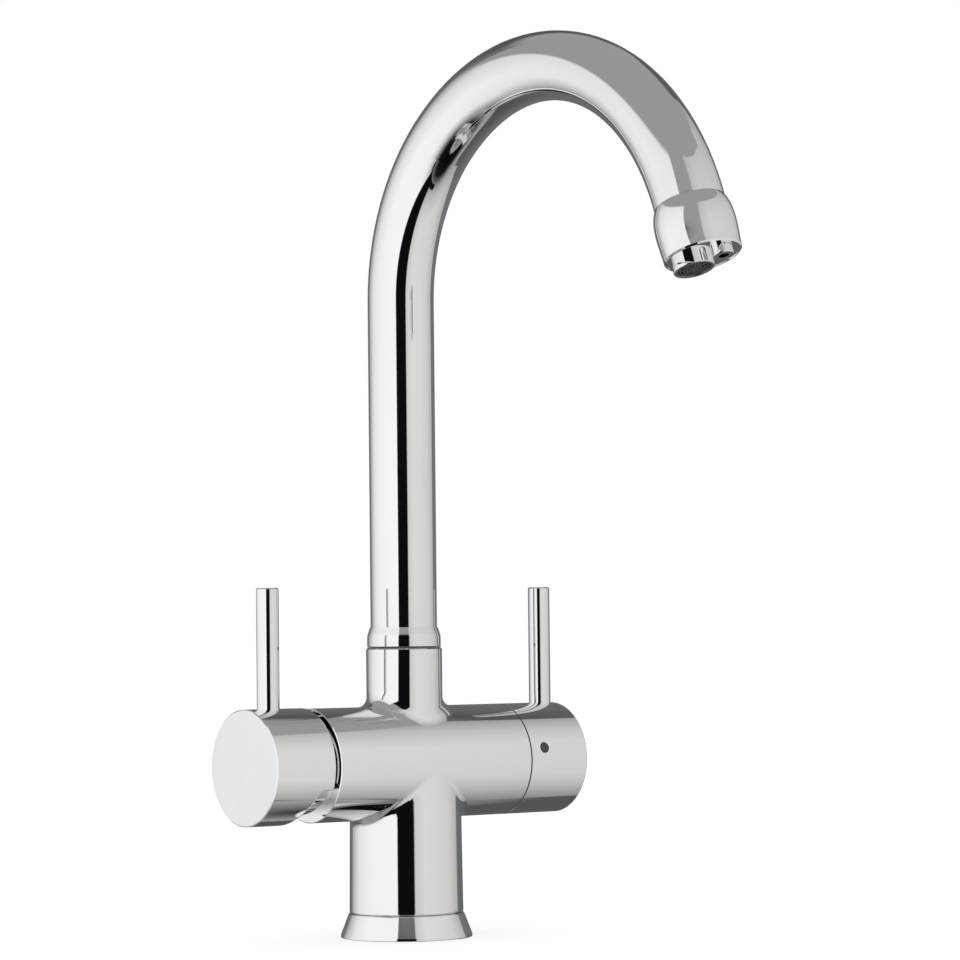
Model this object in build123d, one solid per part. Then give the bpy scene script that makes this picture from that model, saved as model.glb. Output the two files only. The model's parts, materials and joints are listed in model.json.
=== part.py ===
from build123d import *
import math
import os

os.makedirs("parts", exist_ok=True)

# Five-way kitchen tap, in millimetres. The origin is the mouth of the fixing stud's hole in the
# underside. +Z is up, -Y is the front, where the spout points, and the mixer handle is on -X.

# Clearances
slip = 0.05  # between pieces pushed together and fixed
running = 0.1  # around a turning shaft or a seal
air = 0.3  # between two bodies that only pass each other

# Body casting
axis_height = 73.0
tube_radius = 23.65
tube_left = 49.9
tube_right = 49.6
column_step = 0.4
column_taper = 0.7
column_round = 0.9
column_blend = 4.0
boss_radius = 16.0
boss_height = 47.9
boss_blend = 7.0
rim_chamfer = 0.35

# Base ring and its seal
ring_height = 10.2
ring_step = 0.25
ring_flare = 3.4
ring_lip = 1.2
ring_round = 0.4
ring_top_round = 0.7
ring_wall = 2.05
seal_inset = 0.85
seal_width = 3.0
seal_thickness = 2.0

# Connections in the underside: one fixing stud, two mains lines, three filtered lines
stud_hole_radius = 3.4
stud_hole_depth = 14.0
mains_hole_radius = 4.5
mains_hole_depth = 11.0
filter_hole_radius = 3.5
filter_hole_depth = 10.0
inlet_pitch_radius = 12.0
inlet_step = 72.0
mouth_chamfer = 0.4

# Waterways
mains_riser_radius = 3.4
mains_duct_radius = 3.0
outlet_riser_radius = 2.6
outlet_riser_offset = 9.2
filter_riser_radius = 2.4
filter_duct_radius = 2.1
duct_drop = 2.0
well_duct_rise = 3.1

# Spout socket in the boss
socket_radius = 12.2
socket_depth = 32.9
stem_bore_radius = 5.2
stem_bore_depth = 12.0
spout_screw_depth = 8.9
spout_screw_radius = 2.5
spout_screw_inset = 0.4
spout_screw_hex = 2.5
screw_bevel = 0.3

# Spout tube
spout_radius = 14.0
spout_wall = 1.4
neck_length = 142.4
first_bend_radius = 85.3
first_bend_angle = 49.3
second_bend_radius = 98.0
bend_total = 160.0

# Glide ring and collar at the spout's foot
glide_thickness = 0.5
glide_inset = 0.5
collar_wall = 1.45
collar_straight = 4.7
collar_height = 8.3
collar_lip = 0.25
collar_blend = 6.0

# Spigot that carries the spout
spigot_gap = 4.0
spigot_wall = 3.9
spigot_floor_thickness = 4.0
spigot_flange = 3.05
spigot_plug_length = 9.0
spigot_port_count = 6
spigot_port_margin = 0.2
spigot_hub_radius = 4.6
spigot_hub_length = 8.0
stem_well = 5.2
stem_waterway = 2.0
catch_groove_depth = 1.5
catch_groove_height = 5.6
catch_gap = 0.4
seal_section = 2.4
seal_depths = (15.9, 21.9)
stem_seal_section = 1.5
stem_seal_depth = 3.4
guide_depth = 3.3
guide_width = 3.2
guide_thickness = 1.6
guide_split = 1.2
guide_slant = 30.0

# Filtered water tube inside the spout
inner_tube_radius = 3.0
inner_tube_wall = 1.0
inner_tube_seat = 5.0
inner_tube_straight = 101.0
inner_tube_gap = 1.0
offset_bend_radius = 40.0

# Spout head, measured along the outlet from the end of the tube
head_length = 22.0
head_turn = -10.0
head_swell = 1.92
head_widest = 11.0
head_shoulder_step = 1.25
head_shoulder_rise = 3.5
head_taper = 0.53
head_face_chamfer = 0.6
head_rim = 0.4
head_recess = 0.3
head_plug_length = 5.0
head_plug_gap = 0.3
mains_passage_radius = 5.6
mains_passage_shift = 1.0
nozzle_passage_radius = 2.0

# Aerator
aerator_edge_gap = 0.65
aerator_stand = 3.1
aerator_shoulder = 0.3
aerator_thread_length = 8.5
aerator_wall = 0.75
aerator_round = 0.35
aerator_washer_thickness = 1.3
aerator_washer_width = 2.7
aerator_screen_thickness = 0.7
aerator_screen_hole = 0.55
aerator_screen_step = 1.7
aerator_ring_count = 4
aerator_rib = 0.5
aerator_rib_height = 1.6
aerator_spokes = 8
aerator_recess = 0.3
aerator_insert_height = 6.0
aerator_plate = 1.2
aerator_plate_hole = 0.8
aerator_plate_step = 2.3

# Filtered water nozzle
nozzle_radius = 4.15
nozzle_gap = 2.6
nozzle_edge_gap = 0.95
nozzle_stand = 3.7
nozzle_thread_radius = 3.65
nozzle_thread_length = 6.5
nozzle_bore_radius = 2.0
nozzle_washer_thickness = 1.2
nozzle_round = 0.5

# Pin levers, and the grub screws and plugs of both handles
lever_radius = 4.65
lever_length = 54.5
lever_bevel = 0.5
lever_sink = 4.65
lever_thread_radius = 3.0
lever_thread_length = 5.5
lever_pad_radius = 7.4
lever_pad_floor = 1.2
screw_radius = 1.95
screw_length = 5.0
screw_hex = 2.0
screw_pad_radius = 4.6
plug_radius = 2.3
plug_length = 2.6
plug_recess = 0.3

# Mixer handle
mixer_gap = 2.5
mixer_step = 0.3
mixer_wall = 1.75
mixer_back_wall = 3.0
mixer_bevel = 0.4
mixer_lever_inset = 12.25
mixer_hub_radius = 8.5
mixer_hub_length = 8.5
mixer_hub_gap = 4.5
relief_top = 9.7
relief_depth = 5.9
relief_slant = 26.0
relief_rim_round = 2.0
relief_corner_round = 1.0
relief_polish = 1.2

# Mixer cartridge, a stack that starts at the floor of its cavity
mixer_cavity_depth = 11.9
mixer_thread_length = 4.9
port_seal_radius = 4.9
port_seal_width = 1.5
port_seal_thickness = 1.5
port_seal_proud = 0.5
port_radius = 3.0
mains_port_up = 4.2
mains_port_side = 7.6
outlet_port_down = 8.5
cartridge_base_thickness = 4.1
peg_radius = 1.9
peg_length = 3.0
peg_side = 12.0
peg_down = 4.5
fixed_disc_thickness = 3.8
disc_port_radius = 2.6
moving_disc_room = 1.67
moving_disc_thickness = 3.5
mixing_pocket_radius = 7.8
mixing_pocket_rim = 1.0
mixing_pocket_depth = 1.8
driver_thickness = 4.0
driver_half_width = 10.9
rotor_thickness = 4.2
rotor_neck_gap = 1.7
rotor_neck_stand = 5.75
rotor_lug_height = 9.0
rotor_lug_length = 3.2
housing_step = 1.95
housing_wall = 1.0
housing_lip = 1.5
pivot_depth = 3.0
pivot_radius = 1.5
pivot_inset = 0.6
stem_ball_radius = 2.4
stem_ball_arm = 9.8
stem_waist_radius = 1.7
stem_waist_length = 3.4
stem_shank_radius = 3.5
stem_square = 7.9
stem_bevel = 0.6
stem_square_gap = 2.5
stem_tip_gap = 1.4
tilt_limit = 20.0
nut_thread = 1.6
nut_height = 9.0
nut_slots = 6
nut_slot_width = 3.0
nut_slot_depth = 3.0
cover_gap = 1.95
cover_wall = 1.1
cover_lip = 0.9
cover_round = 2.0
cover_mouth_gap = 1.0

# Filtered water handle
filter_length = 30.3
filter_wall = 2.2
filter_back_wall = 3.0
filter_edge_round = 0.8
filter_lever_inset = 7.0
filter_hub_radius = 11.2
filter_screw_inset = 7.0
filter_screw_angle = 77.6

# Selector valve, a stack that starts at the floor of its cavity
selector_cavity_depth = 25.6
selector_thread_length = 9.6
selector_thread = 1.4
selector_radius = 14.2
selector_wall = 1.65
selector_port_pitch = 9.0
selector_port_radius = 2.1
selector_seal_thickness = 1.6
selector_disc_thickness = 3.8
selector_moving_thickness = 3.4
selector_slot_depth = 1.8
selector_arms = (0, 135)
spindle_flange_thickness = 2.8
spindle_radius = 6.0
spline_radius = 4.9
spline_depth = 0.55
spline_teeth = 20
spindle_seal_section = 1.8
spindle_seal_insets = (0.5, 5.5)
body_seal_section = 2.0
body_seal_depth = 2.2
selector_flange_thickness = 1.95
selector_flange_across = 30.0
selector_neck_radius = 8.6
selector_neck_length = 0.6
clip_thickness = 0.8
clip_radius = 7.8
clip_groove = 0.9
clip_opening = 7.0
adaptor_gap = 0.6
adaptor_square = 12.6
adaptor_length = 17.1
adaptor_corner = 1.5

# Radii and heights that follow from the sizes above

column_top_radius = tube_radius - column_step
column_foot_radius = column_top_radius + column_taper
ring_top_radius = column_foot_radius + ring_step
ring_foot_radius = ring_top_radius + ring_flare
ring_seat_radius = column_foot_radius - ring_wall
seal_inner_radius = ring_seat_radius + slip + seal_inset
seal_outer_radius = seal_inner_radius + seal_width

boss_top = axis_height + boss_height
socket_floor = boss_top - socket_depth
stem_bore_floor = socket_floor - stem_bore_depth
spout_screw_height = boss_top - spout_screw_depth
spout_bore = spout_radius - spout_wall
collar_foot = boss_top + glide_thickness + running
spigot_flange_top = collar_foot + spigot_flange
spout_foot = spigot_flange_top + slip
neck_top = spout_foot + neck_length
spigot_radius = socket_radius - running
spigot_bore_radius = spigot_radius - spigot_wall
spigot_foot = socket_floor + spigot_gap
spigot_floor_top = spigot_foot + spigot_floor_thickness
spigot_hub_top = spigot_floor_top + spigot_hub_length
stem_radius = stem_bore_radius - running
stem_foot = stem_bore_floor + stem_well
inner_tube_foot = spigot_hub_top - inner_tube_seat
inner_tube_bend = inner_tube_foot + inner_tube_straight
inner_tube_offset = spout_bore - inner_tube_gap - inner_tube_radius
catch_groove_radius = spigot_radius - catch_groove_depth
spout_screw_tip = catch_groove_radius + catch_gap
seal_wall = socket_radius - slip
stem_seal_wall = stem_bore_radius - slip
guide_inner_radius = seal_wall - guide_thickness
guide_height = boss_top - guide_depth

# Places along the outlet

head_widest_radius = spout_radius + head_swell
head_face_radius = head_widest_radius - head_taper
head_recess_radius = head_face_radius - head_face_chamfer - head_rim
head_plug_radius = spout_bore - head_plug_gap
head_seat = head_length - head_recess
aerator_left = aerator_edge_gap - head_recess_radius
nozzle_offset = head_recess_radius - nozzle_edge_gap - nozzle_radius
aerator_right = nozzle_offset - nozzle_radius - nozzle_gap
aerator_radius = (aerator_right - aerator_left) / 2
aerator_offset = -(aerator_right + aerator_left) / 2
aerator_thread_radius = aerator_radius - aerator_shoulder
mains_passage_offset = aerator_offset - mains_passage_shift
aerator_bore_radius = aerator_thread_radius - aerator_wall
aerator_tip = head_length + aerator_stand
aerator_front = aerator_tip - aerator_recess
aerator_thread_start = head_seat - aerator_thread_length
aerator_washer_seat = aerator_thread_start - aerator_washer_thickness
aerator_screen_end = aerator_front - aerator_insert_height
nozzle_tip = head_length + nozzle_stand
nozzle_thread_start = head_seat - nozzle_thread_length
nozzle_washer_seat = nozzle_thread_start - nozzle_washer_thickness

# Heights above the handles' axis

lever_seat = tube_radius - lever_sink
lever_thread_start = lever_seat - lever_thread_length
lever_pad_start = lever_thread_start - lever_pad_floor
lever_end = lever_seat + lever_length

# Distances out from the column's axis, to the mixer side

mixer_floor = tube_left - mixer_cavity_depth
mixer_thread_start = tube_left - mixer_thread_length
base_start = mixer_floor + port_seal_proud
base_end = base_start + cartridge_base_thickness
fixed_disc_end = base_end + fixed_disc_thickness
moving_disc_start = fixed_disc_end + slip
moving_disc_end = moving_disc_start + moving_disc_thickness
driver_end = moving_disc_end + driver_thickness
rotor_start = driver_end + air
rotor_end = rotor_start + rotor_thickness
lip_start = rotor_end + air
housing_end = lip_start + housing_lip
nut_seat = mixer_thread_start + slip
cover_start = tube_left + slip
cover_end = housing_end + slip + cover_lip
rotor_neck_end = housing_end + rotor_neck_stand
pivot_at = rotor_neck_end - pivot_depth
ball_at = pivot_at - stem_ball_arm
stem_square_start = rotor_neck_end + stem_square_gap
mixer_rim = tube_left + mixer_gap
mixer_hub_start = rotor_neck_end + mixer_hub_gap
mixer_back = mixer_hub_start + mixer_hub_length
mixer_face = mixer_back + mixer_back_wall
mixer_lever_at = mixer_face - mixer_lever_inset
mixer_screw_at = mixer_hub_start + mixer_hub_length / 2
stem_end = mixer_back - stem_tip_gap

mixer_radius = tube_radius + mixer_step
cover_radius = mixer_radius - mixer_wall - cover_gap
cover_bore = cover_radius - cover_wall
nut_thread_radius = cover_bore - slip
cartridge_radius = nut_thread_radius - nut_thread
mixer_cavity_radius = cartridge_radius + running
housing_bore = cartridge_radius - housing_step
housing_upper = housing_bore + housing_wall
fixed_disc_radius = housing_bore - slip
rotor_radius = housing_bore - slip - air
rotor_neck_radius = lever_pad_start - rotor_neck_gap
cover_mouth_radius = rotor_neck_radius + cover_mouth_gap
disc_travel = stem_ball_arm * math.sin(math.radians(tilt_limit))
disc_rest_shift = -disc_travel / 2
moving_disc_radius = housing_bore - disc_travel / 2 - moving_disc_room
mixing_pocket_shift = mixing_pocket_radius + mixing_pocket_rim - moving_disc_radius

# Distances out from the column's axis, to the filter side

selector_floor = tube_right - selector_cavity_depth
selector_thread_start = tube_right - selector_thread_length
selector_fixed_start = selector_floor + selector_seal_thickness
selector_fixed_end = selector_fixed_start + selector_disc_thickness
selector_moving_start = selector_fixed_end + slip
selector_moving_end = selector_moving_start + selector_moving_thickness
spindle_flange_end = selector_moving_end + spindle_flange_thickness
body_seal_at = selector_thread_start - body_seal_depth
selector_flange_start = tube_right + slip
selector_flange_end = selector_flange_start + selector_flange_thickness
selector_neck_end = selector_flange_end + selector_neck_length
clip_start = selector_neck_end + air
clip_end = clip_start + clip_thickness
adaptor_start = clip_end + adaptor_gap
spindle_end = adaptor_start + adaptor_length
filter_rim = tube_right + air
filter_face = filter_rim + filter_length
filter_back = filter_face - filter_back_wall
filter_lever_at = filter_face - filter_lever_inset
filter_screw_at = filter_rim + filter_screw_inset

selector_cavity_radius = selector_radius + running
selector_thread_radius = selector_radius + selector_thread
selector_bore = selector_radius - selector_wall
selector_disc_radius = selector_bore - slip
selector_rotor_radius = selector_bore - air
spindle_bore = spindle_radius + running
spindle_seal_places = [selector_thread_start + inset for inset in spindle_seal_insets]
clip_groove_radius = spindle_radius - clip_groove


def turned(*corners):
    # A piece turned about Z, from its (radius, height) corners.
    return revolve(Plane.XZ * make_face(Polyline(*corners, close=True)), Axis.Z)


def rod(radius, low, high):
    return Pos(0, 0, low) * Cylinder(radius, high - low, align=(Align.CENTER, Align.CENTER, Align.MIN))


def ring(inner, outer, low, high):
    return rod(outer, low, high) - rod(inner, low, high)


def prism(sketch, low, high):
    return Pos(0, 0, low) * extrude(sketch, high - low)


def between(start, end, radius):
    # A drilling from one point to another.
    line = Vector(*end) - Vector(*start)
    return Plane(origin=start, z_dir=line) * rod(radius, 0, line.length)


def seal_ring(section, outer, height):
    # A rubber ring of round section, whose outside has this radius.
    return Pos(0, 0, height) * Torus(outer - section / 2, section / 2)


def seal_groove(section, outer, height):
    # The groove that such a ring lies in.
    half = section / 2 + running
    return ring(outer - section - slip, outer + section, height - half, height + half)


def grub_screw(radius, length, across):
    # It points along -Z, with its socket in the upper end and a bevel at each end.
    screw = chamfer(rod(radius, 0, length).edges().filter_by(GeomType.CIRCLE), screw_bevel)
    return screw - prism(RegularPolygon(across / 2, 6, major_radius=False), length - across, length)


def polar(radius, angle):
    turn = math.radians(angle)
    return radius * math.cos(turn), radius * math.sin(turn)


def added(point, step):
    return tuple(a + b for a, b in zip(point, step))


def around(count, piece):
    return [Rot(0, 0, turn * 360 / count) * piece for turn in range(count)]


def round_holes(centres, radius, low, high):
    return [Pos(*centre, 0) * rod(radius, low, high) for centre in centres]


def mixer_side(piece):
    # Local Z points out of the mixer end and local X points up.
    return Pos(0, 0, axis_height) * Rot(0, -90, 0) * piece


def filter_side(piece):
    # Local Z points out of the filter end, local X points up and local Y to the front.
    return Pos(0, 0, axis_height) * Rot(0, 90, 0) * Rot(0, 0, 180) * piece


# Ports, inlets and pegs

mains_inlets = [polar(inlet_pitch_radius, 180 - side * inlet_step / 2) for side in (1, -1)]
filter_inlets = [polar(inlet_pitch_radius, step * inlet_step) for step in (-1, 0, 1)]
selector_ports = [polar(selector_port_pitch, angle) for angle in (90, 180, 270)]
mains_ports = [(mains_port_up, side * mains_port_side) for side in (1, -1)]
outlet_port = (-outlet_port_down, 0)
pegs = [(-peg_down, side * peg_side) for side in (1, -1)]

# The spout's centre line, in its own plane: local X points to the front and local Y up

spout_plane = Plane(origin=(0, 0, 0), x_dir=(0, -1, 0), z_dir=(-1, 0, 0))
first_centre = (first_bend_radius, neck_top)
bend_change = 180 - first_bend_angle
outlet_side = 180 - bend_total
second_centre = added(first_centre, polar(first_bend_radius - second_bend_radius, bend_change))
tube_end = added(second_centre, polar(second_bend_radius, outlet_side))


def across_spout(point, angle):
    # A plane across the tube; its local X points away from the bend's centre, at this angle.
    away = spout_plane.from_local_coords((*polar(1, angle), 0))
    onward = spout_plane.from_local_coords((*polar(1, angle - 90), 0))
    origin = spout_plane.from_local_coords((*point, 0))
    return Plane(origin=origin, x_dir=away, z_dir=onward)


outlet = across_spout(tube_end, outlet_side)


def bend(centre, distance, start, sweep, radius):
    # A round bar turned about a bend's centre.
    section = across_spout(added(centre, polar(distance, start)), start) * Circle(radius)
    hinge = Axis(spout_plane.from_local_coords((*centre, 0)), spout_plane.z_dir)
    return revolve(section, hinge, -sweep)


def swan_neck(radius, low, offset=0.0):
    # The neck and both bends as one bar. The offset moves it to the outside of the bends.
    neck = Pos(0, offset, 0) * rod(radius, low, neck_top)
    first = bend(first_centre, first_bend_radius + offset, 180, first_bend_angle, radius)
    second_sweep = bend_total - first_bend_angle
    second = bend(second_centre, second_bend_radius + offset, bend_change, second_sweep, radius)
    return neck + first + second


# Body and base


def inlet_hole(radius, depth):
    # A tapped hole in the underside, with a small countersink at its mouth.
    low = (Align.CENTER, Align.CENTER, Align.MIN)
    return rod(radius, 0, depth) + Cone(radius + mouth_chamfer, radius, mouth_chamfer, align=low)


def riser(inlet, mouth, riser_radius, duct_radius):
    # A drilling straight up from an inlet, and one that slants down to it from a port.
    top = mouth.Z - duct_drop
    return [Pos(*inlet, 0) * rod(riser_radius, 0, top), between((*inlet, top), tuple(mouth), duct_radius)]


def waterways():
    drillings = []
    for inlet, port in zip(mains_inlets, mains_ports):
        mouth = mixer_side(Pos(*port, mixer_floor)).position
        drillings += riser(inlet, mouth, mains_riser_radius, mains_duct_radius)
    for inlet, port in zip(filter_inlets, selector_ports):
        mouth = filter_side(Pos(*port, selector_floor)).position
        drillings += riser(inlet, mouth, filter_riser_radius, filter_duct_radius)
    outlet_mouth = mixer_side(Pos(*outlet_port, mixer_floor)).position
    riser_foot = (-outlet_riser_offset, 0, outlet_mouth.Z)
    drillings.append(between(riser_foot, tuple(outlet_mouth), outlet_riser_radius))
    drillings.append(between(riser_foot, (-outlet_riser_offset, 0, socket_floor), outlet_riser_radius))
    well = (0, 0, stem_bore_floor + well_duct_rise)
    drillings.append(between((selector_floor, 0, axis_height), well, filter_duct_radius))
    return drillings


def screw_from_behind(piece):
    # Local Z points to the back, at the height of the screw that keeps the spout in.
    return Pos(0, 0, spout_screw_height) * Rot(-90, 0, 0) * piece


def body():
    tube = mixer_side(rod(tube_radius, -tube_right, tube_left))
    tube = chamfer(tube.edges().filter_by(GeomType.CIRCLE), rim_chamfer)
    column = turned(
        (0, 0),
        (ring_seat_radius, 0),
        (ring_seat_radius, ring_height),
        (column_foot_radius, ring_height),
        (column_top_radius, axis_height),
        (0, axis_height),
    )
    foot = column.edges().filter_by_position(Axis.Z, ring_height - slip, ring_height + slip)
    column = fillet(foot.sort_by(SortBy.LENGTH)[-1], column_round)
    boss = chamfer(rod(boss_radius, axis_height, boss_top).edges().group_by(Axis.Z)[-1], rim_chamfer)
    casting = tube + column + boss
    curves = casting.edges().filter_by(GeomType.BSPLINE)
    casting = fillet(curves.filter_by(lambda edge: edge.center().Z > axis_height), boss_blend)
    curves = casting.edges().filter_by(GeomType.BSPLINE)
    lowest = curves.sort_by(lambda edge: edge.bounding_box().min.Z)[0]
    casting = fillet(lowest, column_blend)
    cuts = [
        mixer_side(rod(mixer_cavity_radius, mixer_floor, tube_left)),
        mixer_side(rod(nut_thread_radius, mixer_thread_start, tube_left)),
        filter_side(rod(selector_cavity_radius, selector_floor, tube_right)),
        filter_side(rod(selector_thread_radius, selector_thread_start, tube_right)),
        rod(socket_radius, socket_floor, boss_top),
        rod(stem_bore_radius, stem_bore_floor, socket_floor),
        rod(stud_hole_radius, 0, stud_hole_depth),
        screw_from_behind(rod(spout_screw_radius, 0, boss_radius)),
    ]
    peg_floor = base_start - peg_length - air
    cuts += [mixer_side(hole) for hole in round_holes(pegs, peg_radius + slip, peg_floor, mixer_floor)]
    cuts += [Pos(*inlet, 0) * inlet_hole(mains_hole_radius, mains_hole_depth) for inlet in mains_inlets]
    cuts += [Pos(*inlet, 0) * inlet_hole(filter_hole_radius, filter_hole_depth) for inlet in filter_inlets]
    return casting - cuts - waterways()


def base_ring():
    inner = ring_seat_radius + slip
    top = ring_height - slip
    cone = turned(
        (inner, 0),
        (ring_foot_radius, 0),
        (ring_foot_radius, ring_lip),
        (ring_top_radius, top),
        (inner, top),
    )
    cone = fillet(cone.edges().group_by(Axis.Z)[0].sort_by(SortBy.LENGTH)[-1], ring_round)
    cone = fillet(cone.edges().group_by(Axis.Z)[-1].sort_by(SortBy.LENGTH)[-1], ring_top_round)
    return cone - ring(seal_inner_radius, seal_outer_radius, 0, seal_thickness)


def base_seal():
    return ring(seal_inner_radius + slip, seal_outer_radius - slip, 0, seal_thickness - slip)


def spout_retaining_screw():
    length = boss_radius - spout_screw_inset - spout_screw_tip
    screw = grub_screw(spout_screw_radius - slip, length, spout_screw_hex)
    return screw_from_behind(Pos(0, 0, spout_screw_tip) * screw)


# Spout


def spout_glide_ring():
    return ring(socket_radius, boss_radius - glide_inset, boss_top, boss_top + glide_thickness)


def spout_collar():
    inner = spout_radius + slip
    outer = inner + collar_wall
    shoulder = collar_foot + collar_straight
    top = collar_foot + collar_height
    section = make_face(
        Polyline(
            (inner, collar_foot),
            (outer, collar_foot),
            (outer, shoulder),
            (inner + collar_lip, top),
            (inner, top),
            close=True,
        )
    )
    section = fillet(section.vertices().sort_by_distance((outer, shoulder))[0], collar_blend)
    section = chamfer(section.vertices().sort_by_distance((outer, collar_foot))[0], rim_chamfer)
    return revolve(Plane.XZ * section, Axis.Z)


def spout_tube():
    return swan_neck(spout_radius, spout_foot) - swan_neck(spout_bore, spout_foot)


def guide_band(inner, outer, gap):
    half = guide_width / 2 + gap
    return ring(inner, outer, guide_height - half, guide_height + half)


def spout_spigot():
    # Mains water rises round the hub; filtered water goes up the middle, through the stem.
    plug_top = spout_foot + spigot_plug_length
    piece = rod(spigot_radius, spigot_foot, spigot_flange_top)
    piece += rod(spout_radius, collar_foot, spigot_flange_top)
    piece += rod(spout_bore - slip, spigot_flange_top, plug_top)
    piece -= rod(spigot_bore_radius, spigot_floor_top, plug_top)
    piece += rod(spigot_hub_radius, spigot_floor_top, spigot_hub_top)
    piece += rod(stem_radius, stem_foot, spigot_foot)
    port_radius = (spigot_bore_radius - spigot_hub_radius) / 2 - spigot_port_margin
    port = Pos((spigot_bore_radius + spigot_hub_radius) / 2, 0, 0)
    catch_half = catch_groove_height / 2
    catch_low = spout_screw_height - catch_half
    catch_high = spout_screw_height + catch_half
    cuts = [
        rod(stem_waterway, stem_foot, inner_tube_foot),
        rod(inner_tube_radius + slip, inner_tube_foot, spigot_hub_top),
        ring(catch_groove_radius, socket_radius, catch_low, catch_high),
        seal_groove(stem_seal_section, stem_seal_wall, socket_floor - stem_seal_depth),
        guide_band(guide_inner_radius - slip, socket_radius, running),
    ]
    cuts += [seal_groove(seal_section, seal_wall, boss_top - depth) for depth in seal_depths]
    cuts += around(spigot_port_count, port * rod(port_radius, spigot_foot, spigot_floor_top))
    return piece - cuts


def spigot_seals():
    rings = [seal_ring(seal_section, seal_wall, boss_top - depth) for depth in seal_depths]
    return rings + [seal_ring(stem_seal_section, stem_seal_wall, socket_floor - stem_seal_depth)]


def spigot_guide():
    # A plastic band, split on the slant so that it can be sprung into its groove.
    split = Box(guide_split, socket_radius, 4 * guide_width)
    return guide_band(guide_inner_radius, seal_wall, 0) - (
        Pos(0, socket_radius, guide_height) * Rot(0, guide_slant, 0) * split
    )


def inner_tube_bar(radius):
    # It starts in the middle of the spigot and moves over to the outside of the bends.
    sway = math.degrees(math.acos(1 - inner_tube_offset / (2 * offset_bend_radius)))
    top = inner_tube_bend + 2 * offset_bend_radius * math.sin(math.radians(sway))
    lower = Axis((0, offset_bend_radius, inner_tube_bend), (1, 0, 0))
    upper = Axis((0, inner_tube_offset - offset_bend_radius, top), (1, 0, 0))
    foot = rod(radius, inner_tube_foot, inner_tube_bend)
    out = revolve(Pos(0, 0, inner_tube_bend) * Circle(radius), lower, -sway)
    back = revolve(Pos(0, inner_tube_offset, top) * Circle(radius), upper, -sway)
    return foot + out + back + swan_neck(radius, top, inner_tube_offset)


def filtered_water_tube():
    return inner_tube_bar(inner_tube_radius) - inner_tube_bar(inner_tube_radius - inner_tube_wall)


# Spout head, in the outlet's frame: local Z follows the water out and local X points away from
# the column

at_aerator = Rot(0, 0, head_turn) * Pos(-aerator_offset, 0, 0)
at_nozzle = Rot(0, 0, head_turn) * Pos(nozzle_offset, 0, 0)


def spout_head():
    # A plug in the tube, and a barrel that swells from the tube and draws in again to the face.
    barrel = Spline(
        (spout_radius, slip),
        (spout_radius + head_shoulder_step, head_shoulder_rise),
        (head_widest_radius, head_widest),
        (head_face_radius, head_length),
    )
    outline = Polyline(
        (head_face_radius, head_length),
        (0, head_length),
        (0, -head_plug_length),
        (head_plug_radius, -head_plug_length),
        (head_plug_radius, slip),
        (spout_radius, slip),
    )
    solid = revolve(Plane.XZ * make_face([barrel, outline]), Axis.Z)
    solid = chamfer(solid.faces().sort_by(Axis.Z)[-1].edges(), head_face_chamfer)
    mains_passage = rod(mains_passage_radius, -head_plug_length, aerator_washer_seat)
    # The filtered passage slants from the inner tube to the nozzle, and runs on into both.
    lower = (inner_tube_offset, 0, -nozzle_passage_radius)
    upper = (at_nozzle * Pos(0, 0, nozzle_washer_seat + nozzle_passage_radius)).position
    return outlet * (
        solid
        - rod(head_recess_radius, head_seat, head_length)
        - Rot(0, 0, head_turn) * Pos(-mains_passage_offset, 0, 0) * mains_passage
        - at_aerator * rod(aerator_thread_radius + slip, aerator_washer_seat, head_length)
        - Pos(inner_tube_offset, 0, 0) * rod(inner_tube_radius + head_plug_gap, -head_plug_length, slip)
        - between(lower, tuple(upper), nozzle_passage_radius)
        - at_nozzle * rod(nozzle_thread_radius + slip, nozzle_washer_seat, head_length)
    )


def aerator_housing():
    shell = turned(
        (aerator_bore_radius, aerator_thread_start),
        (aerator_thread_radius, aerator_thread_start),
        (aerator_thread_radius, head_seat),
        (aerator_radius, head_seat),
        (aerator_radius, aerator_tip),
        (aerator_bore_radius, aerator_tip),
    )
    rim = shell.edges().group_by(Axis.Z)[-1].sort_by(SortBy.LENGTH)[-1]
    return outlet * at_aerator * fillet(rim, aerator_round)


def grid_of_holes(step, radius, limit, low, high):
    # A square grid, kept clear of the rim.
    reach = range(-int(limit // step), int(limit // step) + 1)
    centres = [(x * step, y * step) for x in reach for y in reach]
    return round_holes([place for place in centres if math.hypot(*place) < limit - step], radius, low, high)


def aerator_insert():
    # Concentric ribs on spokes, in front of a plate of small holes.
    radius = aerator_bore_radius - slip
    rib_start = aerator_front - aerator_rib_height
    plate_end = aerator_screen_end + aerator_plate
    plate = rod(radius, aerator_screen_end, plate_end)
    plate -= grid_of_holes(aerator_plate_step, aerator_plate_hole, radius, aerator_screen_end, plate_end)
    step = radius / (aerator_ring_count + 1)
    middles = [step * (turn + 1) for turn in range(aerator_ring_count)]
    half = aerator_rib / 2
    ribs = [ring(middle - half, middle + half, rib_start, aerator_front) for middle in middles]
    wall = ring(radius - aerator_rib, radius, aerator_screen_end, aerator_front)
    spoke = prism(Pos(radius / 2, 0) * Rectangle(radius - half, aerator_rib), rib_start, aerator_front)
    return outlet * at_aerator * (plate + wall + ribs + around(aerator_spokes, spoke))


def aerator_screen():
    high = aerator_screen_end - slip
    low = high - aerator_screen_thickness
    holes = grid_of_holes(aerator_screen_step, aerator_screen_hole, aerator_bore_radius, low, high)
    return outlet * at_aerator * (rod(aerator_bore_radius - slip, low, high) - holes)


def aerator_washer():
    outer = aerator_thread_radius - slip
    low = aerator_washer_seat + slip
    return outlet * at_aerator * ring(outer - aerator_washer_width, outer, low, aerator_thread_start - slip)


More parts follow.
